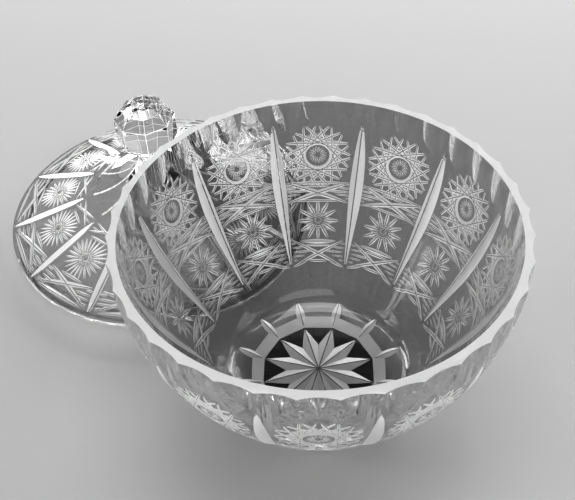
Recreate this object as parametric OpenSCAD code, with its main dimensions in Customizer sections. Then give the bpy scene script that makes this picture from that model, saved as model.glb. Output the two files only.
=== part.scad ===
// Covered jar of cut glass: a wide bowl and its domed lid with a faceted knob.
// The lid is off and lies on the table behind the bowl, knob up.
// The bowl's axis is Z, and the bowl stands on the plane z = 0.

/* [Bowl] */
// Diameter over the rim
mouth_d = 150; // [140:1:160]
// Height of the bowl
bowl_h = 91.5; // [88:0.5:95]
// Diameter of the foot's edge
foot_d = 71; // [67:1:75]
// Height at which the straight lower wall turns into the curved side
turn_h = 41.7; // [38:0.1:46]
// Radius of the curved side, in section
side_r = 98; // [92:1:104]
// Wall at the rim
rim_wall = 3.8; // [3.4:0.1:4.2]
// Wall where the side is cut, at the turn
side_wall = 7; // [6.5:0.1:8]
// Glass under the bowl's floor
floor_t = 10; // [9:0.5:12]
// Radius where the floor meets the wall
floor_fillet = 16; // [12:1:20]

/* [Cutting of the bowl] */
// Panels round the bowl and round the lid
panels = 12; // [12:1:12]
// Height of the upper end of the long cuts between panels
mitre_top = 77; // [74:0.5:79]
// Height of their lower end
mitre_low = 20; // [18:0.5:23]
// Flutes under the rim
flutes = 36; // [24:12:48]
// Radius of a flute
flute_r = 60; // [40:5:90]
// Depth of a flute at the rim
flute_depth = 0.7; // [0.5:0.1:0.9]
// Height of the centre of the small star
small_star_z = 37.2; // [36:0.2:38]
// Radius of the small star
small_star_r = 9.8; // [9:0.2:10.4]
// Depth of the small star
small_star_depth = 1.9; // [1.5:0.1:2.2]
// Radius of the star under the foot
foot_star_r = 22; // [20:0.5:23]
// Depth of the star under the foot
foot_star_depth = 2.8; // [2:0.1:3.2]

/* [Lid] */
// Diameter of the lid
lid_d = 147; // [142:1:149]
// Thickness of the lid's edge
edge_t = 3.4; // [3:0.1:4.5]
// Height of the collar under the lid
collar_h = 3; // [2.5:0.1:4]
// Width of the collar
collar_w = 4.5; // [4:0.1:6]
// Gap between the collar and the bowl's mouth
collar_gap = 0.9; // [0.6:0.1:1.5]
// Radius where the dome turns up into the neck
dome_top_r = 31; // [28:0.5:33]
// Rise of the dome from the edge to that place
dome_rise = 15; // [13:0.5:17]
// Wall of the dome
dome_t = 5; // [4.5:0.1:6]
// Height of the neck's narrowest place
neck_h = 44; // [42:0.5:46]
// Radius of the neck
neck_r = 5.2; // [4.6:0.1:6]
// Width of the knob over its facets
knob_d = 28; // [26:0.5:30]
// Height of the knob's taper above the neck
knob_taper = 6.5; // [5:0.5:8]
// Height of the bevel under its belt
knob_bevel = 2.5; // [2:0.5:4]
// Height of its upright belt
knob_belt = 11.5; // [9:0.5:13]
// Height of the facets above the belt
knob_crown = 5; // [4:0.5:6]
// Height of its flatter top facets
knob_cap = 3; // [2:0.5:4]
// Sides of the knob
knob_sides = 8; // [8:2:10]
// Where the lid lies, right of the bowl's axis
lid_x = -79; // [-85:1:-77]
// Where the lid lies, behind the bowl's axis
lid_y = 98; // [96:1:105]
// How far the lid is turned
lid_turn = 10; // [0:1:30]

/* [Hidden] */
$fn = 120;

rim_r = mouth_d / 2;
foot_r = foot_d / 2;
panel_a = 360 / panels;

// The side is an arc that ends upright at the rim, and a cone below the turn.
side_x = rim_r - side_r;
turn_r = side_x + sqrt(side_r^2 - (bowl_h - turn_h)^2);
lean = atan((turn_r - foot_r) / turn_h);

// Radius of the outside at height z, and how far its normal points down there
function wall_r(z) = z > turn_h ? side_x + sqrt(side_r^2 - (bowl_h - z)^2)
                                : foot_r + (turn_r - foot_r) * z / turn_h;
function wall_dip(z) = z > turn_h ? asin((bowl_h - z) / side_r) : lean;

// A point of the bowl's outside, lifted off it along its normal
function on_bowl(a, z, lift = 0) =
    let (r = wall_r(z) + lift * cos(wall_dip(z)))
    [r * cos(a), r * sin(a), z - lift * sin(wall_dip(z))];

// A point of the lid's dome at radius r, lifted off it
dome_slope = dome_rise / (lid_d / 2 - dome_top_r);
function dome_z(r) = collar_h + edge_t + dome_slope * (lid_d / 2 - r);
function on_dome(a, r, lift = 0) =
    let (s = atan(dome_slope), q = r + lift * sin(s))
    [q * cos(a), q * sin(a), dome_z(r) + lift * cos(s)];

function unit(v) = v / norm(v);

flute_reach = 30;
lid_star_at = 51;
lid_star_r = 10.5;
foot_flat_r = 24;
foot_facet_a = 16;
notch_top = 7;

// One straight pass of the V-edged wheel, whose deepest line runs from p to q
module pass(p, q, out, half = 48, reach = 6) {
    d = unit(q - p);
    n = unit(out - (out * d) * d);
    t = cross(d, n);
    m = (p + q) / 2;
    multmatrix([[n.x, t.x, d.x, m.x], [n.y, t.y, d.y, m.y], [n.z, t.z, d.z, m.z], [0, 0, 0, 1]])
        linear_extrude(height = norm(q - p), center = true)
            polygon([[0, 0], [reach, reach * tan(half)], [reach, -reach * tan(half)]]);
}

// A star of V cuts that meet at its centre: deep at the centre, and running out at the points
module star_cut(deep, top, tips, valleys) {
    n = len(tips);
    polyhedron(
        points = concat([deep, top], tips, valleys),
        faces = concat(
            [for (i = [0:n - 1]) [0, 2 + n + i, 2 + i]],
            [for (i = [0:n - 1]) [0, 2 + (i + 1) % n, 2 + n + i]],
            [for (i = [0:n - 1]) [1, 2 + i, 2 + n + i]],
            [for (i = [0:n - 1]) [1, 2 + n + i, 2 + (i + 1) % n]]));
}

// A star on the bowl's outside at angle a and height z, with n points
module bowl_star(a, z, r, valley, depth, n) {
    lift = 0.25;
    turn_mm = 180 / (PI * wall_r(z));
    rise = cos(wall_dip(z));
    function place(rad, t) =
        let (zz = z + rad * sin(t) * rise) on_bowl(a + rad * cos(t) * 180 / (PI * wall_r(zz)), zz, lift);
    star_cut(on_bowl(a, z, -depth), on_bowl(a, z, 4),
        [for (i = [0:n - 1]) place(r, 90 - 360 * i / n)],
        [for (i = [0:n - 1]) place(valley * r, 90 - 360 * (i + 0.5) / n)]);
}

module bowl_outline() {
    intersection() {
        translate([side_x, bowl_h]) circle(side_r);
        translate([0, turn_h]) square([rim_r + 1, bowl_h - turn_h]);
    }
    polygon([[0, 0], [foot_r, 0], [turn_r, turn_h], [0, turn_h]]);
}

// The hollow: an arc that ends upright at the rim, then a cone, a fillet and a flat floor
mouth_r = rim_r - rim_wall;
hollow_turn_r = turn_r - side_wall / cos(lean);
hollow_r = ((bowl_h - turn_h)^2 + (mouth_r - hollow_turn_r)^2) / (2 * (mouth_r - hollow_turn_r));
hollow_slope = asin((bowl_h - turn_h) / hollow_r);
floor_wall_r = hollow_turn_r - (turn_h - floor_t) * tan(hollow_slope);
fillet_run = floor_fillet * tan((90 - hollow_slope) / 2);

module bowl_hollow() {
    intersection() {
        translate([mouth_r - hollow_r, bowl_h]) circle(hollow_r);
        translate([0, turn_h]) square([rim_r, bowl_h]);
    }
    polygon(concat(
        [[0, turn_h + 0.01], [0, floor_t]],
        [for (i = [0:8])
            let (t = (90 - hollow_slope) * i / 8)
            [floor_wall_r - fillet_run + floor_fillet * sin(t), floor_t + floor_fillet * (1 - cos(t))]],
        [[hollow_turn_r, turn_h + 0.01]]));
}

// Upright round cuts, which run out below where the side curves in
module rim_flutes() {
    for (i = [0:flutes - 1])
        rotate([0, 0, (i + 0.5) * 360 / flutes])
            translate([rim_r - flute_depth + flute_r, 0, bowl_h - flute_reach])
                cylinder(r = flute_r, h = 2 * flute_reach);
}

module mitres() {
    for (i = [0:panels - 1]) {
        a = (i + 0.5) * panel_a;
        pass(on_bowl(a, mitre_low), on_bowl(a, mitre_top), on_bowl(a, 45) - on_bowl(a, 45, -1), 45, 9);
    }
}

// The star under the foot, and the flat facets and notches round it
module foot_star() {
    star_cut([0, 0, foot_star_depth], [0, 0, -3],
        [for (i = [0:panels - 1]) let (t = (i + 0.5) * panel_a) [foot_star_r * cos(t), foot_star_r * sin(t), -0.2]],
        [for (i = [0:panels - 1]) let (t = (i + 1) * panel_a) 0.45 * [foot_star_r * cos(t), foot_star_r * sin(t), -0.2 / 0.45]]);
}

module foot_facets() {
    for (i = [0:panels - 1])
        rotate([0, 0, i * panel_a])
            translate([foot_flat_r * cos(panel_a / 2), -40, 0])
                rotate([0, -foot_facet_a, 0])
                    translate([0, 0, -30]) cube([60, 80, 30]);
}

module foot_notches() {
    for (i = [0:panels - 1]) {
        a = (i + 0.5) * panel_a;
        inner = [(foot_flat_r + 1) * cos(a), (foot_flat_r + 1) * sin(a), 0.2];
        pass(inner, on_bowl(a, notch_top), [cos(a), sin(a), -1], 50, 8);
    }
}

module jar_body() color("white") difference() {
    rotate_extrude() bowl_outline();
    rotate_extrude() bowl_hollow();
    rim_flutes();
    mitres();
    for (i = [0:panels - 1]) bowl_star(i * panel_a, small_star_z, small_star_r, 0.55, small_star_depth, 12);
    foot_star();
    foot_facets();
    foot_notches();
}

// The dome's top line turns up into the neck on an arc
module lid_outline() {
    x1 = dome_top_r; z1 = dome_z(dome_top_r);
        polygon(concat(
            [[0, collar_h], [lid_d / 2, collar_h], [lid_d / 2, collar_h + edge_t], [x1, z1]],
            [for (i = [1:12]) let (t = i / 12)
                [x1 + (neck_r - x1) * (1 - (1 - t)^1.6), z1 + (neck_h - z1) * t^1.5 ]],
            [[0, neck_h]]));
}

module lid_hollow() {
    drop = dome_t / cos(atan(dome_slope));
    r0 = lid_d / 2 - 9;
    polygon([[0, collar_h - 1], [collar_in, collar_h - 1], [collar_in, dome_z(collar_in) - drop],
        [dome_top_r, dome_z(dome_top_r) - drop], [12, dome_z(dome_top_r) - drop + 2.5], [0, dome_z(dome_top_r) - drop + 2.5]]);
}

collar_r = mouth_r - collar_gap;
collar_in = collar_r - collar_w;

module lid_mitres() {
    for (i = [0:panels - 1]) {
        a = i * panel_a;
        out = on_dome(a, 50) - on_dome(a, 50, -1);
        pass(on_dome(a, lid_d / 2, 0.1), on_dome(a, 55, -2.6), out, 45, 9);
        pass(on_dome(a, 55, -2.6), on_dome(a, 36, 0.1), out, 45, 9);
    }
}

module lid_stars() {
    for (i = [0:panels - 1]) {
        a = (i + 0.5) * panel_a;
        star_cut(on_dome(a, lid_star_at, -1.6), on_dome(a, lid_star_at, 4),
            [for (k = [0:11]) let (t = 90 + 360 * k / 12) on_dome(a + lid_star_r * cos(t) * 180 / (PI * lid_star_at), lid_star_at + lid_star_r * sin(t), 0.2)],
            [for (k = [0:11]) let (t = 90 + 360 * (k + 0.5) / 12) on_dome(a + 0.55 * lid_star_r * cos(t) * 180 / (PI * lid_star_at), lid_star_at + 0.55 * lid_star_r * sin(t), 0.2)]);
    }
}

// The knob stands on the neck, ground in rings of flat facets
module knob() {
    translate([0, 0, neck_h]) rotate([0, 0, 180 / knob_sides - lid_turn]) {
        cylinder(r1 = neck_r, r2 = 0.86 * knob_d / 2, h = knob_taper, $fn = knob_sides);
        translate([0, 0, knob_taper])
            cylinder(r1 = 0.86 * knob_d / 2, r2 = knob_d / 2, h = knob_bevel, $fn = knob_sides);
        translate([0, 0, knob_taper + knob_bevel])
            cylinder(r = knob_d / 2, h = knob_belt, $fn = knob_sides);
        translate([0, 0, knob_taper + knob_bevel + knob_belt])
            cylinder(r1 = knob_d / 2, r2 = 0.72 * knob_d / 2, h = knob_crown, $fn = knob_sides);
        translate([0, 0, knob_taper + knob_bevel + knob_belt + knob_crown])
            cylinder(r1 = 0.72 * knob_d / 2, r2 = 0.36 * knob_d / 2, h = knob_cap, $fn = knob_sides);
    }
}

module lid() color("gainsboro") translate([lid_x, lid_y, 0]) rotate([0, 0, lid_turn]) {
    difference() {
        rotate_extrude() lid_outline();
        rotate_extrude() lid_hollow();
        lid_mitres();
        lid_stars();
    }
    rotate_extrude() translate([collar_in, 0]) square([collar_w, collar_h + 0.5]);
    knob();
}

jar_body();
lid();
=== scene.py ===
"""A covered jar of cut glass: a wide bowl, and its domed lid lying behind it.

The bowl is a wedge of half a panel, cut with every pass of the V-edged wheel, mirrored to a whole panel
and repeated round the axis. The lid is made the same way, with its knob on top. Inside a piece, sizes are
in millimetres and angles in degrees until the piece is finished; the scene is in metres.
"""
import logging
import math
from dataclasses import dataclass, field
from typing import Callable, Sequence

import bpy
from mathutils import Matrix, Vector


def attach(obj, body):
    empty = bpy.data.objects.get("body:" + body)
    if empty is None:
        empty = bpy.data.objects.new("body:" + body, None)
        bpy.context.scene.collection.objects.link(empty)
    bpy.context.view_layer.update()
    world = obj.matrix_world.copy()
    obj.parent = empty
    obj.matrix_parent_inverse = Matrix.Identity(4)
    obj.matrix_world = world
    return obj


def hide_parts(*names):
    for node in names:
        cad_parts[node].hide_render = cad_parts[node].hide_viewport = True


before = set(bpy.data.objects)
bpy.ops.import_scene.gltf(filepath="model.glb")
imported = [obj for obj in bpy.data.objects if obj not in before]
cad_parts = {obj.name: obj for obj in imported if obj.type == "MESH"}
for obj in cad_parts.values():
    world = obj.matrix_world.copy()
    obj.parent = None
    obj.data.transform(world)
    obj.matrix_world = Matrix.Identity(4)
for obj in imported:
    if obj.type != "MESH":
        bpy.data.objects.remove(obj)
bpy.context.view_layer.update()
LOG = logging.getLogger("jar")
MM = 0.001  # a millimetre in metres
PANELS = 12
PANEL_A = 360 / PANELS
HALF_A = PANEL_A / 2
SPIN_STEPS = 8  # steps of a turned surface in half a panel
SMOOTH_A = 9  # edges that turn by more degrees than this stay sharp
Outline = Sequence[tuple[float, float]]


def grey(level: float) -> tuple[float, float, float, float]:
    """An opaque grey, as a node takes it.

    Args:
        level: How light the grey is, from 0 to 1.

    Returns:
        The colour.
    """
    return level, level, level, 1.0


def polar(r: float, a: float, z: float) -> Vector:
    """The point at a radius, an angle and a height.

    Args:
        r: Distance from the axis.
        a: Angle round the axis, in degrees.
        z: Height.

    Returns:
        The point.
    """
    t = math.radians(a)
    return Vector((r * math.cos(t), r * math.sin(t), z))


def mixed(tree: bpy.types.NodeTree, first: bpy.types.Node, second: bpy.types.Node) -> bpy.types.Node:
    """Mixes two shaders.

    Args:
        tree: The material's nodes.
        first: The shader that shows where the share is 0.
        second: The shader that shows where the share is 1.

    Returns:
        The mixing node; its input 0 is the share.
    """
    mix = tree.nodes.new("ShaderNodeMixShader")
    tree.links.new(first.outputs[0], mix.inputs[1])
    tree.links.new(second.outputs[0], mix.inputs[2])
    return mix


@dataclass(frozen=True)
class GlassFinish:
    """A finish of colourless glass, whose grey base colour is painted shade that darkens what is seen through it.

    Args:
        name: The material's name.
        roughness: How far the surface scatters what passes through it.
        grain: How strongly fine marks of the wheel disturb the surface.
        grain_scale: How many marks there are in a metre.
        frost: How much of the surface is matt.
        passes: How much of a lamp's light each surface lets through to what lies behind it.
        painted_shade_grey: How light the glass leaves what is seen through it; the grey is painted shade, standing
            in for dark surroundings, not a tint of the glass.
        matt: How much of the matt part throws light back, where the rest lets it through.
        ior: How strongly the glass bends light.
        mark_depth: Depth of a mark in metres.
        mark_detail: How many finer sizes of mark there are.
    """

    name: str
    roughness: float
    grain: float
    grain_scale: float
    frost: float = 0.0
    passes: float = 0.35
    painted_shade_grey: float = 0.45
    matt: float = 0.3
    ior: float = 1.55
    mark_depth: float = 0.0001
    mark_detail: float = 3

    def material(self) -> bpy.types.Material:
        """Makes the node material.

        Returns:
            The material.
        """
        mat = bpy.data.materials.new(self.name)
        mat.use_nodes = True
        tree = mat.node_tree
        nodes, links = tree.nodes, tree.links
        glass = nodes["Principled BSDF"]
        # Painted shade: the grey base colour darkens everything seen through the glass, in place of dark
        # surroundings.
        glass.inputs["Base Color"].default_value = grey(self.painted_shade_grey)
        glass.inputs["Transmission Weight"].default_value = 1
        glass.inputs["IOR"].default_value = self.ior
        glass.inputs["Roughness"].default_value = self.roughness
        place = nodes.new("ShaderNodeTexCoord")
        marks = nodes.new("ShaderNodeTexNoise")
        marks.inputs["Scale"].default_value = self.grain_scale
        marks.inputs["Detail"].default_value = self.mark_detail
        bump = nodes.new("ShaderNodeBump")
        bump.inputs["Strength"].default_value = self.grain
        bump.inputs["Distance"].default_value = self.mark_depth
        links.new(place.outputs["Object"], marks.inputs["Vector"])
        links.new(marks.outputs["Fac"], bump.inputs["Height"])
        links.new(bump.outputs["Normal"], glass.inputs["Normal"])
        milky, chalky = nodes.new("ShaderNodeBsdfTranslucent"), nodes.new("ShaderNodeBsdfDiffuse")
        for part in (milky, chalky):
            part.inputs["Color"].default_value = grey(1)
            links.new(bump.outputs["Normal"], part.inputs["Normal"])
        haze = mixed(tree, milky, chalky)
        haze.inputs[0].default_value = self.matt
        frosted = mixed(tree, glass, haze)
        frosted.inputs[0].default_value = self.frost
        clear = nodes.new("ShaderNodeBsdfTransparent")
        clear.inputs["Color"].default_value = grey(self.passes)
        whole = mixed(tree, frosted, clear)
        see = nodes.new("ShaderNodeLightPath")
        links.new(see.outputs["Is Shadow Ray"], whole.inputs[0])
        links.new(whole.outputs[0], nodes["Material Output"].inputs["Surface"])
        return mat


@dataclass(frozen=True)
class Wall:
    """The bowl's outside in section: a cone below the turn, and an arc that ends upright at the rim.

    Args:
        rim_r: Radius of the rim.
        height: Height of the rim.
        foot_r: Radius of the foot.
        turn_z: Height of the turn, where the cone meets the arc.
        side_r: Radius of the arc.
    """

    rim_r: float = 75.0
    height: float = 91.5
    foot_r: float = 35.5
    turn_z: float = 41.7
    side_r: float = 98.0

    def arc_radius(self, z: float) -> float:
        """Radius of the outside at a height above the turn.

        Args:
            z: The height.

        Returns:
            The radius.
        """
        return self.rim_r - self.side_r + math.sqrt(self.side_r**2 - (self.height - z) ** 2)

    @property
    def turn_r(self) -> float:
        """Radius of the outside at the turn."""
        return self.arc_radius(self.turn_z)

    def radius(self, z: float) -> float:
        """Radius of the outside at any height.

        Args:
            z: The height.

        Returns:
            The radius.
        """
        if z > self.turn_z:
            return self.arc_radius(z)
        return self.foot_r + (self.turn_r - self.foot_r) * z / self.turn_z

    def dip(self, z: float) -> float:
        """How far the outward normal points down.

        Args:
            z: Height of the place.

        Returns:
            The angle in radians.
        """
        if z > self.turn_z:
            return math.asin((self.height - z) / self.side_r)
        return math.atan((self.turn_r - self.foot_r) / self.turn_z)

    def normal(self, a: float, z: float) -> Vector:
        """The outward normal.

        Args:
            a: Angle of the place, in degrees.
            z: Height of the place.

        Returns:
            The normal.
        """
        d = self.dip(z)
        return polar(math.cos(d), a, -math.sin(d))

    def point(self, a: float, z: float, lift: float = 0.0) -> Vector:
        """A point of the outside.

        Args:
            a: Angle of the point, in degrees.
            z: Height of the point.
            lift: How far the point is off the wall.

        Returns:
            The point.
        """
        return polar(self.radius(z), a, z) + lift * self.normal(a, z)

    def around(self, z: float, r: float, t: float, lift: float = 0.0) -> Vector:
        """A point of the outside at some distance from a place in the panel's middle.

        Args:
            z: Height of the place.
            r: Distance of the point from the place, measured along the wall.
            t: Direction of the point in radians, turning from the right to the top.
            lift: How far the point is off the wall.

        Returns:
            The point.
        """
        zz = z + r * math.sin(t) * math.cos(self.dip(z))
        return self.point(math.degrees(r * math.cos(t) / self.radius(zz)), zz, lift)


def deselect() -> None:
    """Deselects every object."""
    bpy.ops.object.select_all(action="DESELECT")


def make_active(obj: bpy.types.Object) -> None:
    """Selects one object alone and makes it the active one.

    Args:
        obj: The object.
    """
    deselect()
    obj.select_set(True)
    bpy.context.view_layer.objects.active = obj


def select_faces(obj: bpy.types.Object, wanted: Callable[[bpy.types.MeshPolygon], bool]) -> None:
    """Goes into edit mode with just the wanted faces of an object selected.

    Args:
        obj: The object.
        wanted: Says of each face whether it is selected.
    """
    make_active(obj)
    bpy.ops.object.mode_set(mode="EDIT")
    bpy.ops.mesh.select_mode(type="FACE")
    bpy.ops.mesh.select_all(action="DESELECT")
    bpy.ops.object.mode_set(mode="OBJECT")
    for f in obj.data.polygons:
        f.select = wanted(f)
    bpy.ops.object.mode_set(mode="EDIT")


def take(name: str, finish: bpy.types.Material) -> bpy.types.Object:
    """Names the active object and gives it its finish.

    Args:
        name: The name.
        finish: The material.

    Returns:
        The object.
    """
    obj = bpy.context.object
    obj.name = name
    obj.data.materials.clear()
    obj.data.materials.append(finish)
    return obj


def spun_wedge(name: str, finish: bpy.types.Material, outline: Outline) -> bpy.types.Object:
    """Spins an outline through half a panel, from its edge to its middle plane, which holds the X axis.

    Args:
        name: The object's name.
        finish: The glass of the turned surface.
        outline: Radius and height of each corner of the closed outline.

    Returns:
        The wedge.
    """
    c, s = math.cos(math.radians(HALF_A)), math.sin(math.radians(HALF_A))
    deselect()
    bpy.ops.mesh.primitive_plane_add(size=1)
    obj = take(name, finish)
    bpy.ops.object.mode_set(mode="EDIT")
    bpy.ops.mesh.merge(type="CENTER")
    bpy.ops.mesh.select_all(action="SELECT")
    r, z = outline[0]
    bpy.ops.transform.translate(value=(r * c, r * s, z))
    for (r0, z0), (r1, z1) in zip(outline, outline[1:]):
        step = ((r1 - r0) * c, (r1 - r0) * s, z1 - z0)
        bpy.ops.mesh.extrude_region_move(TRANSFORM_OT_translate={"value": step})
    bpy.ops.mesh.select_all(action="SELECT")
    bpy.ops.mesh.edge_face_add()
    bpy.ops.mesh.spin(steps=SPIN_STEPS, angle=math.radians(HALF_A), center=(0, 0, 0), axis=(0, 0, 1))
    bpy.ops.mesh.select_all(action="SELECT")
    bpy.ops.mesh.remove_doubles(threshold=1e-4)
    bpy.ops.mesh.normals_make_consistent(inside=False)
    bpy.ops.object.mode_set(mode="OBJECT")
    return obj


def combine(work: bpy.types.Object, tool: bpy.types.Object, operation: str) -> None:
    """Takes a tool's shape out of a piece, or adds it, and removes the tool.

    Args:
        work: The piece.
        tool: The tool, in place.
        operation: DIFFERENCE or UNION.
    """
    make_active(work)
    boolean = work.modifiers.new("combine", "BOOLEAN")
    boolean.operation = operation
    boolean.solver = "MANIFOLD"
    boolean.material_mode = "TRANSFER"
    boolean.object = tool
    bpy.ops.object.modifier_apply(modifier=boolean.name)
    bpy.data.meshes.remove(tool.data)


def repeat_panel(wedge: bpy.types.Object) -> bpy.types.Object:
    """Takes the wedge's side faces away, mirrors it to a panel and repeats that round the axis.

    Args:
        wedge: The cut wedge.

    Returns:
        The whole piece.
    """
    t = math.radians(HALF_A)
    sides = [Vector((0, 1, 0)), Vector((-math.sin(t), math.cos(t), 0))]
    me = wedge.data
    select_faces(wedge, lambda f: any(
        all(abs(me.vertices[i].co.dot(n)) < 1e-3 for i in f.vertices) for n in sides))
    bpy.ops.mesh.delete(type="FACE")
    bpy.ops.object.mode_set(mode="OBJECT")
    mirror = wedge.modifiers.new("mirror", "MIRROR")
    mirror.use_axis = (False, True, False)
    mirror.merge_threshold = 5e-4
    bpy.ops.object.modifier_apply(modifier=mirror.name)
    bpy.ops.object.mode_set(mode="EDIT")
    bpy.ops.mesh.select_all(action="SELECT")
    bpy.ops.mesh.spin(
        steps=PANELS - 1, dupli=True, angle=math.radians(360 - PANEL_A),
        center=(0, 0, 0), axis=(0, 0, 1), use_auto_merge=False)
    bpy.ops.mesh.select_mode(type="VERT")
    bpy.ops.mesh.select_all(action="DESELECT")
    bpy.ops.mesh.select_non_manifold(extend=False)
    bpy.ops.mesh.remove_doubles(threshold=2e-3)
    bpy.ops.object.mode_set(mode="OBJECT")
    return wedge


def finish_piece(obj: bpy.types.Object, place: Matrix) -> bpy.types.Object:
    """Puts a piece in its place, in metres, and shades it smooth between its sharp edges.

    Args:
        obj: The piece, in millimetres about its own axis.
        place: Where it goes, in millimetres.

    Returns:
        The piece.
    """
    obj.data.transform(Matrix.Scale(MM, 4) @ place)
    make_active(obj)
    bpy.ops.object.shade_smooth_by_angle(angle=math.radians(SMOOTH_A))
    return obj


@dataclass
class Grinder:
    """Cuts a piece with passes of a V-edged wheel.

    The wheel's track is a prism on an equilateral triangle whose corners are one unit from its middle.

    Args:
        work: The piece that is cut.
        finish: The glass on the sides of a pass.
        bottom: The glass of the narrow strip along the deepest line of a pass.
        edge_w: Width of that strip, in the track's units.
        stations: Where the track can bend, as parts of its length from its middle.
    """

    work: bpy.types.Object
    finish: bpy.types.Material
    bottom: bpy.types.Material
    edge_w: float = 0.06
    stations: tuple[float, ...] = (-0.3, -0.1, 0.1, 0.3)
    track: bpy.types.Object = field(init=False)

    def __post_init__(self) -> None:
        """Models the wheel's track once."""
        deselect()
        bpy.ops.mesh.primitive_cylinder_add(vertices=3, radius=1, depth=1)
        self.track = take("wheel_track", self.finish)
        self.track.data.materials.append(self.bottom)
        for edge in self.track.data.edges:
            edge.select = all(self.track.data.vertices[i].co.y > 0.9 for i in edge.vertices)
        bpy.ops.object.mode_set(mode="EDIT")
        bpy.ops.mesh.select_mode(type="EDGE")
        bpy.ops.mesh.bevel(offset=self.edge_w, segments=1, material=1)
        for station in self.stations:
            bpy.ops.mesh.select_all(action="SELECT")
            bpy.ops.mesh.bisect(plane_co=(0, 0, station), plane_no=(0, 0, 1))
        bpy.ops.object.mode_set(mode="OBJECT")

    def put_away(self) -> None:
        """Removes the track after the last pass."""
        bpy.data.objects.remove(self.track)

    def cut(self, tool: bpy.types.Object) -> None:
        """Takes a tool's shape out of the piece and removes the tool.

        Args:
            tool: The tool, in place.
        """
        combine(self.work, tool, "DIFFERENCE")

    def groove(
        self, p: Vector, q: Vector, out: Vector,
        half: float = 45, bow: float = 0, reach: float = 5, even: int = 2,
    ) -> None:
        """Cuts one V groove whose deepest line runs from p to q.

        Args:
            p: One end of the deepest line.
            q: The other end.
            out: A direction out of the glass.
            half: Half the angle of the wheel's edge, in degrees.
            bow: How much deeper than the straight line the groove is at its middle.
            reach: How far the tool stands over its deepest line.
            even: The power of the bow, higher for a groove that keeps its depth nearly to its ends.
        """
        along = (q - p).normalized()
        n = (out - out.dot(along) * along).normalized()
        side = along.cross(n)
        length = (q - p).length
        tool = self.track.copy()
        tool.data = self.track.data.copy()
        bpy.context.collection.objects.link(tool)
        wide = 2 * reach * math.tan(math.radians(half)) / math.sqrt(3)
        tall = reach / 1.5
        middle = (p + q) / 2 + tall * n
        for v in tool.data.vertices:
            x, y, z = v.co
            sunk = bow * (1 - abs(2 * z) ** even)
            v.co = middle + side * (x * wide) - n * (y * tall + sunk) + along * (z * length)
        self.cut(tool)


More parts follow.
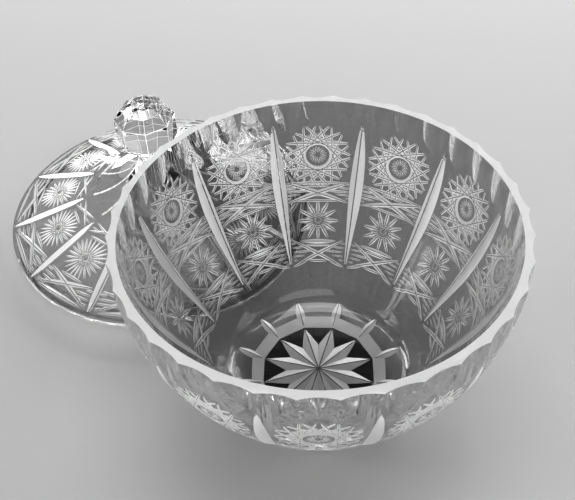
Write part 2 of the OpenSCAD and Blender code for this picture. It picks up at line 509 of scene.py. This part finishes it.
@dataclass
class CutBowl:
    """The bowl: a turned blank, and the cutting of one panel repeated round it.

    Args:
        polished: The glass of the turned surface and of the flutes.
        cut: The glass of the cuts in the wall.
        ground: The glass of the cuts under the foot.
        rim_ground: The glass of the rim's top.
        wall: The outside in section.
        rim_wall: Thickness of the wall at the rim.
        side_wall: Thickness of the wall at the turn.
        floor_t: Thickness of the floor.
        fillet: Radius of the inside corner at the floor.
        arc_steps: Steps of the wall's arcs.
        fillet_steps: Steps of the inside corner.
        mitre_low: Height of a mitre cut's lower end.
        mitre_top: Height of its upper end.
        mitre_square: Height at which its wheel stands square to the wall.
        flute_r: Radius of a flute's wheel.
        flute_depth: Depth of a flute.
        big_z: Height of the large star's middle.
        big_r: Radius of the large star.
        big_step: How much less the radius of its second set of chords is.
        ring_r: Radius of the ring in the large star.
        ring_w: Half the width of the ring.
        button_r: Radius of the star in the ring.
        small_z: Height of the small star's middle.
        small_r: Radius of the small star.
        bar_gap: How far from the panel's edge a long bar ends, in degrees.
        bands: Top, low end and bow of the two long bars that cross in each band.
        side_bars: Where each bar beside a crossing ends, in degrees, and how many steps over it lies.
        level_bars: Half the length in degrees, the height and the bow of each short level bar.
        arch: Where the two bars over a mitre's foot end, in degrees, and the heights of their ends.
        lines: Heights of the lower and the upper line of the upper band.
        line_bow: Bow of those lines.
        foot_star_r: Radius of the star under the foot.
        foot_star_z: Height of its deepest point.
        notch: Radius and height of the inner and the outer end of a notch at the foot.
        foot_flat_r: Radius of the flat under the foot, over its corners.
        foot_lean: Slope of the facets round that flat, in degrees.
    """

    polished: bpy.types.Material
    cut: bpy.types.Material
    ground: bpy.types.Material
    rim_ground: bpy.types.Material
    wall: Wall = field(default_factory=Wall)
    rim_wall: float = 3.8
    side_wall: float = 7.0
    floor_t: float = 10.0
    fillet: float = 16.0
    arc_steps: int = 16
    fillet_steps: int = 10
    mitre_low: float = 16.0
    mitre_top: float = 82.5
    mitre_square: float = 45.0
    flute_r: float = 23.0
    flute_depth: float = 1.2
    big_z: float = 64.4
    big_r: float = 16.2
    big_step: float = 1.5
    ring_r: float = 6.1
    ring_w: float = 1.0
    button_r: float = 4.9
    small_z: float = 37.2
    small_r: float = 9.9
    bar_gap: float = 0.6
    bands: tuple[tuple[float, float, float], ...] = ((53.8, 44.2, -1.0), (31.0, 19.8, -0.6))
    side_bars: tuple[tuple[float, float], ...] = ((6.0, 0.5), (6.0, -0.5), (10.0, 1.0), (10.0, -1.0))
    level_bars: tuple[tuple[float, float, float], ...] = (
        (6, 47.3, 0.35), (6, 51.0, 0.35), (8, 27.8, 0.3), (10, 29.4, 0.3), (6, 21.6, 0.5))
    arch: tuple[float, float, float] = (5, 19.6, 21.8)
    lines: tuple[float, float] = (45.6, 52.9)
    line_bow: float = -1.2
    foot_star_r: float = 23.4
    foot_star_z: float = 2.8
    notch: tuple[tuple[float, float], ...] = ((24.6, 0.2), (38.2, 4.1))
    foot_flat_r: float = 24.0
    foot_lean: float = 16.0

    def outline(self) -> list[tuple[float, float]]:
        """Corners of half the bowl's section.

        Returns:
            Radius and height of each, from the axis under the foot round to the axis on the floor.
        """
        w = self.wall
        points = [(0.0, 0.0), (w.foot_r, 0.0)]
        points += [(w.radius(z), z) for z in (14.0, 28.0, w.turn_z)]
        top = math.asin((w.height - w.turn_z) / w.side_r)
        for i in range(1, self.arc_steps + 1):
            t = top * (1 - i / self.arc_steps)
            points.append((w.rim_r - w.side_r + w.side_r * math.cos(t), w.height - w.side_r * math.sin(t)))
        # The inside arc touches the inside cone at the height of the turn and passes through the rim.
        lean = w.dip(0)
        px, pz = w.turn_r - self.side_wall / math.cos(lean), w.turn_z
        qx, qz = w.rim_r - self.rim_wall, w.height
        dx, dz = qx - px, qz - pz
        r = (dx * dx + dz * dz) / (2 * (dz * math.sin(lean) - dx * math.cos(lean)))
        cx, cz = px - r * math.cos(lean), pz + r * math.sin(lean)
        high = math.asin((cz - qz) / r)
        for i in range(self.arc_steps + 1):
            t = high + (lean - high) * i / self.arc_steps
            points.append((cx + r * math.cos(t), cz - r * math.sin(t)))
        floor_r = px - (pz - self.floor_t) * math.tan(lean)
        turn = math.pi / 2 - lean
        run = self.fillet * math.tan(turn / 2)
        for i in range(self.fillet_steps + 1):
            t = turn * (1 - i / self.fillet_steps)
            rise = self.fillet * (1 - math.cos(t))
            points.append((floor_r - run + self.fillet * math.sin(t), self.floor_t + rise))
        points.append((0.0, self.floor_t))
        return points

    def star_chords(
        self, g: Grinder, z: float, r: float, n: int, skip: int, half: float, bow: float, lift: float,
    ) -> None:
        """Cuts a star of n points whose every point is joined to the one skip places on.

        Args:
            g: The grinder.
            z: Height of the star's middle.
            r: Radius of the star.
            n: How many points it has.
            skip: How many places on the joined point lies.
            half: Half the angle of the wheel's edge, in degrees.
            bow: How much deeper a chord is at its middle.
            lift: How far the points are off the wall.
        """
        tips = [math.pi / 2 + 2 * math.pi * i / n for i in range(n)]
        places = [self.wall.around(z, r, t, lift) for t in tips]
        out = self.wall.normal(0, z)
        for i in range(n):
            g.groove(places[i], places[(i + skip) % n], out, half, bow)

    def rays(
        self, g: Grinder, z: float, r0: float, r1: float, n: int, half: float, bow: float, start: float = 90,
    ) -> None:
        """Cuts n short rays round a place of the wall.

        Args:
            g: The grinder.
            z: Height of the place.
            r0: How far from the place a ray begins.
            r1: How far from it a ray ends.
            n: How many rays there are.
            half: Half the angle of the wheel's edge, in degrees.
            bow: How much deeper a ray is at its middle.
            start: Direction of the first ray, in degrees.
        """
        out = self.wall.normal(0, z)
        for i in range(n):
            t = math.radians(start + 360 * i / n)
            g.groove(self.wall.around(z, r0, t), self.wall.around(z, r1, t), out, half, bow)

    def bar(
        self, g: Grinder, a0: float, a1: float, z0: float, z1: float, half: float = 45, bow: float = 0,
    ) -> None:
        """Cuts one groove between two places of the wall.

        Args:
            g: The grinder.
            a0: Angle of one place, in degrees.
            a1: Angle of the other place.
            z0: Height of the one place.
            z1: Height of the other place.
            half: Half the angle of the wheel's edge, in degrees.
            bow: How much deeper the groove is at its middle.
        """
        out = self.wall.normal((a0 + a1) / 2, (z0 + z1) / 2)
        g.groove(self.wall.point(a0, z0), self.wall.point(a1, z1), out, half, bow)

    def flutes(self, g: Grinder) -> None:
        """Cuts the panel's upright round flutes under the rim.

        Args:
            g: The grinder.
        """
        sides = 240
        for a in (-PANEL_A / 3, 0, PANEL_A / 3):
            deselect()
            bpy.ops.mesh.primitive_cylinder_add(
                vertices=sides, radius=self.flute_r, depth=60,
                location=polar(self.wall.rim_r - self.flute_depth + self.flute_r, a, self.wall.height),
                rotation=(0, 0, math.radians(a) + math.pi / sides))
            tool = take("flute_wheel", self.polished)
            bpy.ops.object.transform_apply(location=True, rotation=True, scale=True)
            g.cut(tool)

    def ring(self, g: Grinder) -> None:
        """Cuts the round groove inside the large star.

        Args:
            g: The grinder.
        """
        deselect()
        bpy.ops.mesh.primitive_torus_add(
            major_radius=self.ring_r, minor_radius=self.ring_w, major_segments=48, minor_segments=8,
            location=self.wall.point(0, self.big_z, 0.05),
            rotation=self.wall.normal(0, self.big_z).to_track_quat("Z", "Y").to_euler())
        tool = take("ring_wheel", self.cut)
        bpy.ops.object.transform_apply(location=True, rotation=True, scale=True)
        g.cut(tool)

    def big_star(self, g: Grinder) -> None:
        """Cuts the large star, its ring and the star in the ring.

        Args:
            g: The grinder.
        """
        z, button = self.big_z, self.button_r
        self.star_chords(g, z, self.big_r, n=16, skip=6, half=46, bow=-0.75, lift=-0.3)
        self.star_chords(g, z, self.big_r - self.big_step, n=16, skip=5, half=40, bow=-0.75, lift=-0.2)
        self.ring(g)
        self.star_chords(g, z, button, n=8, skip=3, half=34, bow=0.0, lift=-0.15)
        self.rays(g, z, 0.3, button, n=16, half=50, bow=0.35, start=101.25)

    def crossings(self, g: Grinder) -> None:
        """Cuts the bands of crossed bars over and under the small star.

        Args:
            g: The grinder.
        """
        edge = HALF_A - self.bar_gap
        low_line, top_line = self.lines
        for side in (-1, 1):
            for top, low, bow in self.bands:
                self.bar(g, -side * edge, side * edge, top, low, half=48, bow=bow)
            for top, low, _ in self.bands:
                mid, step = (top + low) / 2, (top - low) / 3.4
                self.bar(g, side * edge, side * 1.0, mid, mid, half=42, bow=0.25)
                for end, steps in self.side_bars:
                    z = mid + step * steps
                    self.bar(g, side * edge, side * end, z, z, half=42, bow=0.35)
        self.bar(g, -edge, edge, low_line, low_line, bow=self.line_bow)
        for a, z, bow in self.level_bars:
            self.bar(g, -a, a, z, z, bow=bow)
        end, z0, z1 = self.arch
        for side in (-1, 1):
            self.bar(g, side * HALF_A, side * end, z0, z1, bow=0.5)
        self.bar(g, -edge, edge, top_line, top_line, bow=self.line_bow)

    def small_star(self, g: Grinder) -> None:
        """Cuts the small star.

        Args:
            g: The grinder.
        """
        z, r = self.small_z, self.small_r
        self.star_chords(g, z, r - 0.2, n=12, skip=5, half=42, bow=-0.5, lift=-0.28)
        self.rays(g, z, 1.6, r + 0.3, n=12, half=54, bow=0.55)
        self.rays(g, z, 0.0, 2.8, n=12, half=50, bow=0.25, start=105)

    def mitres(self, work: bpy.types.Object) -> None:
        """Cuts the long mitres at the panel's two edges.

        Args:
            work: The wedge.
        """
        w = self.wall
        g = Grinder(work, self.cut, self.polished, edge_w=0.08)
        for a in (-HALF_A, HALF_A):
            low, top = w.point(a, self.mitre_low), w.point(a, self.mitre_top)
            g.groove(low, top, w.normal(a, self.mitre_square), half=31, reach=9)
        g.put_away()

    def foot(self, work: bpy.types.Object) -> None:
        """Cuts the star under the foot, the notches at its edge and the facets round its flat.

        Args:
            work: The wedge.
        """
        g = Grinder(work, self.ground, self.polished, edge_w=0.03)
        down = Vector((0, 0, -1))
        for a in (-HALF_A, HALF_A):
            ray = polar(1, a, 0)
            g.groove(Vector((0, 0, self.foot_star_z)), ray * self.foot_star_r, down, half=66, bow=0.4, reach=6)
            inner, outer = (ray * r + Vector((0, 0, z)) for r, z in self.notch)
            g.groove(inner, outer, down + 0.3 * ray, half=56, bow=1.4, reach=9)
        edge = self.foot_flat_r * math.cos(math.radians(HALF_A))
        lean = Matrix.Translation((edge, 0, 0)) @ Matrix.Rotation(math.radians(-self.foot_lean), 4, "Y")
        across, tall = 80, 30
        for finish, run, rise in ((self.polished, 60, 0), (self.ground, 6, 0.08)):
            deselect()
            bpy.ops.mesh.primitive_cube_add(size=1)
            tool = take("foot_wheel", finish)
            size = Matrix.Diagonal((run, across, tall, 1))
            tool.data.transform(lean @ Matrix.Translation((run / 2, 0, rise - tall / 2)) @ size)
            g.cut(tool)
        g.put_away()

    def build(self) -> bpy.types.Object:
        """Makes the bowl.

        Returns:
            The finished bowl, in metres.
        """
        wedge = spun_wedge("cut_bowl", self.polished, self.outline())
        grinder = Grinder(wedge, self.cut, self.polished)
        self.flutes(grinder)
        self.big_star(grinder)
        self.crossings(grinder)
        self.small_star(grinder)
        self.mitres(wedge)
        self.foot(wedge)
        grinder.put_away()
        wedge.data.materials.append(self.rim_ground)
        for face in wedge.data.polygons:
            if face.normal.z > 0.95 and face.center.z > self.wall.height - 0.1:
                face.material_index = len(wedge.data.materials) - 1
        return finish_piece(repeat_panel(wedge), Matrix.Identity(4))


@dataclass(frozen=True)
class Dome:
    """The lid's top in section: a cone from the edge up to the flare under the knob.

    Args:
        edge_r: Radius of the lid's edge.
        edge_z: Height of the top of the edge.
        top_r: Radius at which the flare begins.
        rise: Height of that place over the edge.
    """

    edge_r: float = 73.45
    edge_z: float = 6.4
    top_r: float = 31.0
    rise: float = 15.0

    @property
    def slope(self) -> float:
        """Rise of the cone over its run."""
        return self.rise / (self.edge_r - self.top_r)

    @property
    def top(self) -> tuple[float, float]:
        """Radius and height at which the flare begins."""
        return self.top_r, self.height(self.top_r)

    def height(self, r: float) -> float:
        """Height of the cone.

        Args:
            r: Radius of the place.

        Returns:
            The height.
        """
        return self.edge_z + self.slope * (self.edge_r - r)

    def normal(self, a: float) -> Vector:
        """The outward normal.

        Args:
            a: Angle of the place, in degrees.

        Returns:
            The normal.
        """
        lean = math.atan(self.slope)
        return polar(math.sin(lean), a, math.cos(lean))

    def point(self, a: float, r: float, lift: float = 0.0) -> Vector:
        """A point of the cone.

        Args:
            a: Angle of the point, in degrees.
            r: Radius of the point.
            lift: How far the point is off the cone.

        Returns:
            The point.
        """
        return polar(r, a, self.height(r)) + lift * self.normal(a)

    def around(self, r: float, far: float, t: float) -> Vector:
        """A point of the cone at some distance from a place in the panel's middle.

        Args:
            r: Radius of the place.
            far: Distance of the point from the place, measured along the cone.
            t: Direction of the point in radians, turning from the right to the edge.

        Returns:
            The point.
        """
        rr = r + far * math.sin(t) / math.sqrt(1 + self.slope**2)
        return self.point(math.degrees(far * math.cos(t) / rr), rr)


@dataclass
class CutLid:
    """The lid: a turned and cut dome, with the faceted knob on its neck.

    Args:
        polished: The glass of the turned surface and of the knob's facets.
        cut: The glass of the cuts and of the knob's edges.
        dome: The top in section.
        collar_out: Outer radius of the collar.
        collar_in: Inner radius of the collar.
        collar_h: Height of the collar.
        wall: Thickness of the dome.
        neck_r: Radius of the neck under the knob.
        neck_h: Height of the neck's top.
        flare_steps: Steps of the flare.
        star_r: Radius at which the star's middle lies.
        star_size: Radius of the star.
        mitre_out: Radius at which a mitre's outer end lies.
        mitre_in: Radius at which its inner end lies.
        mitre_lift: How far its ends are off the dome.
        knob_r: Radius of the knob, over its corners.
        knob_turn: How far the knob is turned, in degrees.
        knob_edge: Width of the knob's ground edges.
        place_x: Where the lid lies, along X.
        place_y: Where the lid lies, along Y.
        turn: How far the lid is turned, in degrees.
    """

    polished: bpy.types.Material
    cut: bpy.types.Material
    dome: Dome = field(default_factory=Dome)
    collar_out: float = 70.3
    collar_in: float = 65.8
    collar_h: float = 3.0
    wall: float = 5.0
    neck_r: float = 5.2
    neck_h: float = 44.0
    flare_steps: int = 12
    star_r: float = 51.0
    star_size: float = 11.6
    mitre_out: float = 74.5
    mitre_in: float = 34.0
    mitre_lift: float = 0.1
    knob_r: float = 14.0
    knob_turn: float = 30.0
    knob_edge: float = 0.1
    place_x: float = -79.0
    place_y: float = 98.0
    turn: float = 25.0

    def flare(self) -> list[tuple[float, float]]:
        """Points of the flare.

        Returns:
            Radius and height of each, from just over the cone up to the neck.
        """
        x1, z1 = self.dome.top
        points = []
        for i in range(1, self.flare_steps + 1):
            t = i / self.flare_steps
            points.append((x1 + (self.neck_r - x1) * (1 - (1 - t) ** 1.6), z1 + (self.neck_h - z1) * t**1.5))
        return points

    def outline(self) -> list[tuple[float, float]]:
        """Corners of half the lid's section.

        Returns:
            Radius and height of each, from the axis under the dome round to the axis over the neck.
        """
        d = self.dome
        drop = self.wall * math.sqrt(1 + d.slope**2)
        under = d.height(d.top_r) - drop
        points = [(0.0, self.neck_h)] + self.flare()[::-1] + [d.top]
        points += [(d.edge_r, d.edge_z), (d.edge_r, self.collar_h), (self.collar_out, self.collar_h)]
        points += [(self.collar_out, 0.0), (self.collar_in, 0.0)]
        points += [(self.collar_in, d.height(self.collar_in) - drop)]
        points += [(d.top_r, under), (12.0, under + 2.5), (0.0, under + 2.5)]
        return points[::-1]

    def bar(
        self, g: Grinder, a0: float, r0: float, a1: float, r1: float, half: float = 45, bow: float = 0.5,
    ) -> None:
        """Cuts one groove between two places of the dome.

        Args:
            g: The grinder.
            a0: Angle of one place, in degrees.
            r0: Radius of the one place.
            a1: Angle of the other place.
            r1: Radius of the other place.
            half: Half the angle of the wheel's edge, in degrees.
            bow: How much deeper the groove is at its middle.
        """
        d = self.dome
        g.groove(d.point(a0, r0), d.point(a1, r1), d.normal((a0 + a1) / 2), half, bow)

    def borders(self, g: Grinder) -> None:
        """Cuts the crossed and the level bars outside and inside the star.

        Args:
            g: The grinder.
        """
        for side in (-1, 1):
            self.bar(g, side * 14.5, 72.2, -side * 14.5, 61.5, half=50, bow=0.3)
            self.bar(g, side * 14.5, 40.8, -side * 14.5, 34.5, half=45, bow=0.3)
            for r in (63.2, 65.4, 67.6, 69.8):
                self.bar(g, side * 14, r, side * (1.5 + 2.2 * abs(r - 66.8)), r, half=48, bow=0.55)
            self.bar(g, side * 14, 37.6, side * 3, 37.6, half=45, bow=0.4)
        for a, r, half, bow in ((13, 72.0, 50, 0.3), (8, 61.4, 48, 0.5), (9, 41.2, 45, 0.5)):
            self.bar(g, -a, r, a, r, half, bow)

    def star(self, g: Grinder) -> None:
        """Cuts the star: long rays, chords over them and short rays in the middle.

        Args:
            g: The grinder.
        """
        d = self.dome
        out = d.normal(0)
        long_rays, chords = 24, 12
        for i in range(long_rays):
            t = 2 * math.pi * (i + 0.5) / long_rays
            g.groove(d.around(self.star_r, 2.4, t), d.around(self.star_r, self.star_size, t), out, half=42, bow=0.7)
        for i in range(chords):
            t, u = (2 * math.pi * (i + k) / chords for k in (0, 5))
            g.groove(d.around(self.star_r, 7, t), d.around(self.star_r, 7, u), out, half=40, bow=0.4)
            g.groove(d.point(0, self.star_r), d.around(self.star_r, 2.6, t), out, half=50, bow=0.25)

    def seams(self, g: Grinder) -> None:
        """Cuts the mitres at the panel's two edges and the fine lines up the round flare.

        Args:
            g: The grinder.
        """
        d = self.dome
        ridge = [d.top] + self.flare()[:-2]
        for a in (-HALF_A, HALF_A):
            outer, inner = (d.point(a, r, self.mitre_lift) for r in (self.mitre_out, self.mitre_in))
            g.groove(outer, inner, d.normal(a), half=45, bow=2.1, reach=9, even=4)
            for (r0, z0), (r1, z1) in zip(ridge, ridge[1:]):
                p, q = polar(r0, a, z0), polar(r1, a, z1)
                over = 0.17 * (q - p).normalized()
                g.groove(p - over, q + over, polar(1, a, 1), half=70, bow=0.25, reach=1, even=6)

    def knob(self) -> bpy.types.Object:
        """Builds the knob in rings of flat facets, from the neck up to its small top face.

        Returns:
            The knob, in place on the lid.
        """
        deselect()
        r = self.neck_r - 0.3
        bpy.ops.mesh.primitive_circle_add(
            vertices=8, radius=r, fill_type="NGON", location=(0, 0, self.neck_h - 0.5),
            rotation=(0, 0, math.radians(self.knob_turn)))
        knob = take("knob", self.polished)
        bpy.ops.object.transform_apply(location=True, rotation=True, scale=True)
        bpy.ops.object.mode_set(mode="EDIT")
        bpy.ops.mesh.select_all(action="SELECT")
        for r1, rise in ((12.0, 7.0), (self.knob_r, 2.5), (self.knob_r, 11.5), (10.1, 5.0), (5.0, 3.0)):
            bpy.ops.mesh.extrude_region_move(TRANSFORM_OT_translate={"value": (0, 0, rise)})
            k = r1 / r
            bpy.ops.transform.resize(value=(k, k, 1), center_override=(0, 0, 0))
            r = r1
        bpy.ops.mesh.select_all(action="SELECT")
        bpy.ops.mesh.normals_make_consistent(inside=False)
        knob.data.materials.append(self.cut)
        bpy.ops.mesh.select_mode(type="EDGE")
        bpy.ops.mesh.select_all(action="SELECT")
        bpy.ops.mesh.bevel(offset=self.knob_edge, segments=1, material=1)
        bpy.ops.object.mode_set(mode="OBJECT")
        return knob

    def build(self) -> bpy.types.Object:
        """Makes the lid.

        Returns:
            The finished lid, in metres, lying behind the bowl.
        """
        wedge = spun_wedge("cut_lid", self.polished, self.outline())
        grinder = Grinder(wedge, self.cut, self.polished)
        self.borders(grinder)
        self.star(grinder)
        self.seams(grinder)
        grinder.put_away()
        lid = repeat_panel(wedge)
        combine(lid, self.knob(), "UNION")
        turned = Matrix.Rotation(math.radians(self.turn), 4, "Z")
        return finish_piece(lid, Matrix.Translation((self.place_x, self.place_y, 0)) @ turned)


@dataclass(frozen=True)
class Lamp:
    """A soft area lamp.

    Args:
        name: The lamp's name.
        place: Where it hangs.
        size: Its width and height.
        power: Its power in watts.
    """

    name: str
    place: tuple[float, float, float]
    size: tuple[float, float]
    power: float

    def hang(self, aim: Vector) -> None:
        """Hangs the lamp.

        Args:
            aim: The point that it shines at.
        """
        data = bpy.data.lights.new(self.name, "AREA")
        data.shape = "RECTANGLE"
        data.size, data.size_y = self.size
        data.energy = self.power
        lamp = bpy.data.objects.new(self.name, data)
        place = Vector(self.place)
        turned = (aim - place).to_track_quat("-Z", "Y").to_matrix().to_4x4()
        lamp.matrix_world = Matrix.Translation(place) @ turned
        bpy.context.collection.objects.link(lamp)


@dataclass(frozen=True)
class Studio:
    """The camera, the floor and the lights.

    Args:
        rim: Radius of the bowl's rim in metres, the camera's unit of distance.
        back: How far the camera stands in front of the bowl's axis, in that unit.
        high: How high it stands.
        pitch: How far it looks down, in degrees.
        yaw: How far it is turned to the right, in degrees.
        roll: How far it is tilted, in degrees.
        focus: Its focal length, in pixels of the photograph.
        centre_x: Where its axis meets the photograph, from the left.
        centre_y: Where its axis meets the photograph, from the top.
        photo_w: Width of the photograph in pixels.
        photo_h: Height of the photograph in pixels.
        sensor_w: Width of the sensor in millimetres.
        floor_grey: How light the floor is.
        world_grey: How light the room is.
        bounces: How often light may pass from surface to surface.
        reflections: How often it may be reflected.
        exposure: The picture's exposure.
        aim: The point that the lamps shine at.
        lamps: The lamps.
    """

    rim: float = 0.075
    back: float = 2.974
    high: float = 4.109
    pitch: float = 46.0
    yaw: float = -3.99
    roll: float = -3.09
    focus: float = 881.7
    centre_x: float = 275.4
    centre_y: float = 252.2
    photo_w: int = 575
    photo_h: int = 500
    sensor_w: float = 36
    floor_grey: float = 0.5
    world_grey: float = 0.02
    bounces: int = 24
    reflections: int = 12
    exposure: float = 0.2
    aim: tuple[float, float, float] = (0, 0, 0.04)
    lamps: tuple[Lamp, ...] = (
        Lamp("back", (0.15, 1.3, 0.3), (1.8, 0.4), 22),
        Lamp("left", (-1.1, 0.0, 0.35), (0.4, 0.5), 4),
        Lamp("right", (1.1, 0.1, 0.35), (0.4, 0.5), 3),
        Lamp("front", (0.3, -1.0, 0.9), (1.3, 0.9), 4),
        Lamp("top", (0.0, 0.1, 1.3), (0.7, 0.7), 4),
    )

    def camera(self) -> None:
        """Places the camera at the photograph's viewpoint."""
        p, y, r = (math.radians(v) for v in (self.pitch, self.yaw, self.roll))
        look = Vector((math.sin(y) * math.cos(p), math.cos(y) * math.cos(p), -math.sin(p)))
        right = Vector((math.cos(y), -math.sin(y), 0))
        up = right.cross(look)
        right, up = math.cos(r) * right + math.sin(r) * up, math.cos(r) * up - math.sin(r) * right
        data = bpy.data.cameras.new("camera")
        data.sensor_fit = "HORIZONTAL"
        data.sensor_width = self.sensor_w
        data.lens = self.sensor_w * self.focus / self.photo_w
        data.shift_x = (self.photo_w / 2 - self.centre_x) / self.photo_w
        data.shift_y = (self.centre_y - self.photo_h / 2) / self.photo_w
        data.clip_start = 0.01
        camera = bpy.data.objects.new("camera", data)
        turned = Matrix((right, up, -look)).transposed().to_4x4()
        camera.matrix_world = Matrix.Translation((0, -self.back * self.rim, self.high * self.rim)) @ turned
        bpy.context.collection.objects.link(camera)
        bpy.context.scene.camera = camera

    def floor(self) -> None:
        """Lays the plain pale floor."""
        deselect()
        bpy.ops.mesh.primitive_plane_add(size=6, location=(0, 0, 0))
        mat = bpy.data.materials.new("floor")
        mat.use_nodes = True
        shader = mat.node_tree.nodes["Principled BSDF"]
        shader.inputs["Base Color"].default_value = grey(self.floor_grey)
        shader.inputs["Roughness"].default_value = 0.9
        take("floor", mat)

    def lights(self) -> None:
        """Sets the soft studio light."""
        world = bpy.data.worlds.new("world")
        world.use_nodes = True
        world.node_tree.nodes["Background"].inputs["Color"].default_value = grey(self.world_grey)
        bpy.context.scene.world = world
        for lamp in self.lamps:
            lamp.hang(Vector(self.aim))

    def build(self) -> None:
        """Sets up the whole studio."""
        self.camera()
        self.floor()
        self.lights()
        scene = bpy.context.scene
        scene.cycles.max_bounces = self.bounces
        scene.cycles.transmission_bounces = self.bounces
        scene.cycles.glossy_bounces = self.reflections
        scene.view_settings.view_transform = "Standard"
        scene.view_settings.look = "High Contrast"
        scene.view_settings.exposure = self.exposure


def bowl_glass() -> list[bpy.types.Material]:
    """Makes the bowl's finishes.

    Returns:
        The polished glass, the cuts, the ground foot and the ground rim.
    """
    finishes = (
        # Painted shade: the polished glass has the darkest grey tint, so the bowl's clear parts look dark; the cuts
        # keep the lighter default tint.
        GlassFinish("polished_glass", roughness=0.0, grain=0.4, grain_scale=60, painted_shade_grey=0.36),
        GlassFinish("wheel_cut_glass", roughness=0.1, grain=0.3, grain_scale=3000, frost=0.75, matt=0.45),
        GlassFinish("ground_glass", roughness=0.3, grain=0.3, grain_scale=3000, frost=0.85, matt=0.8),
        GlassFinish("rim_ground_glass", roughness=0.3, grain=1.0, grain_scale=300, frost=0.75, matt=0.7),
    )
    return [finish.material() for finish in finishes]


def lid_glass() -> list[bpy.types.Material]:
    """Makes the lid's finishes.

    Returns:
        The polished glass and the cuts.
    """
    # Painted shade: the lid's glass gets a lighter grey tint than the bowl's, so it looks less dark, and it lets
    # more lamp light through.
    see = {"passes": 0.6, "painted_shade_grey": 0.62}
    finishes = (
        GlassFinish("lid_polished_glass", roughness=0.0, grain=0.1, grain_scale=60, **see),
        GlassFinish("lid_cut_glass", roughness=0.1, grain=0.3, grain_scale=3000, frost=0.8, **see),
    )
    return [finish.material() for finish in finishes]


def main() -> None:
    """Builds the jar and its studio."""
    logging.basicConfig(level=logging.INFO)
    Studio().build()
    bowl = CutBowl(*bowl_glass()).build()
    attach(bowl, "root")
    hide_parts("jar_body")
    LOG.info("cut_bowl %d faces", len(bowl.data.polygons))
    lid = CutLid(*lid_glass()).build()
    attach(lid, "root")
    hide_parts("lid")
    LOG.info("cut_lid %d faces", len(lid.data.polygons))


if __name__ == "__main__":
    main()
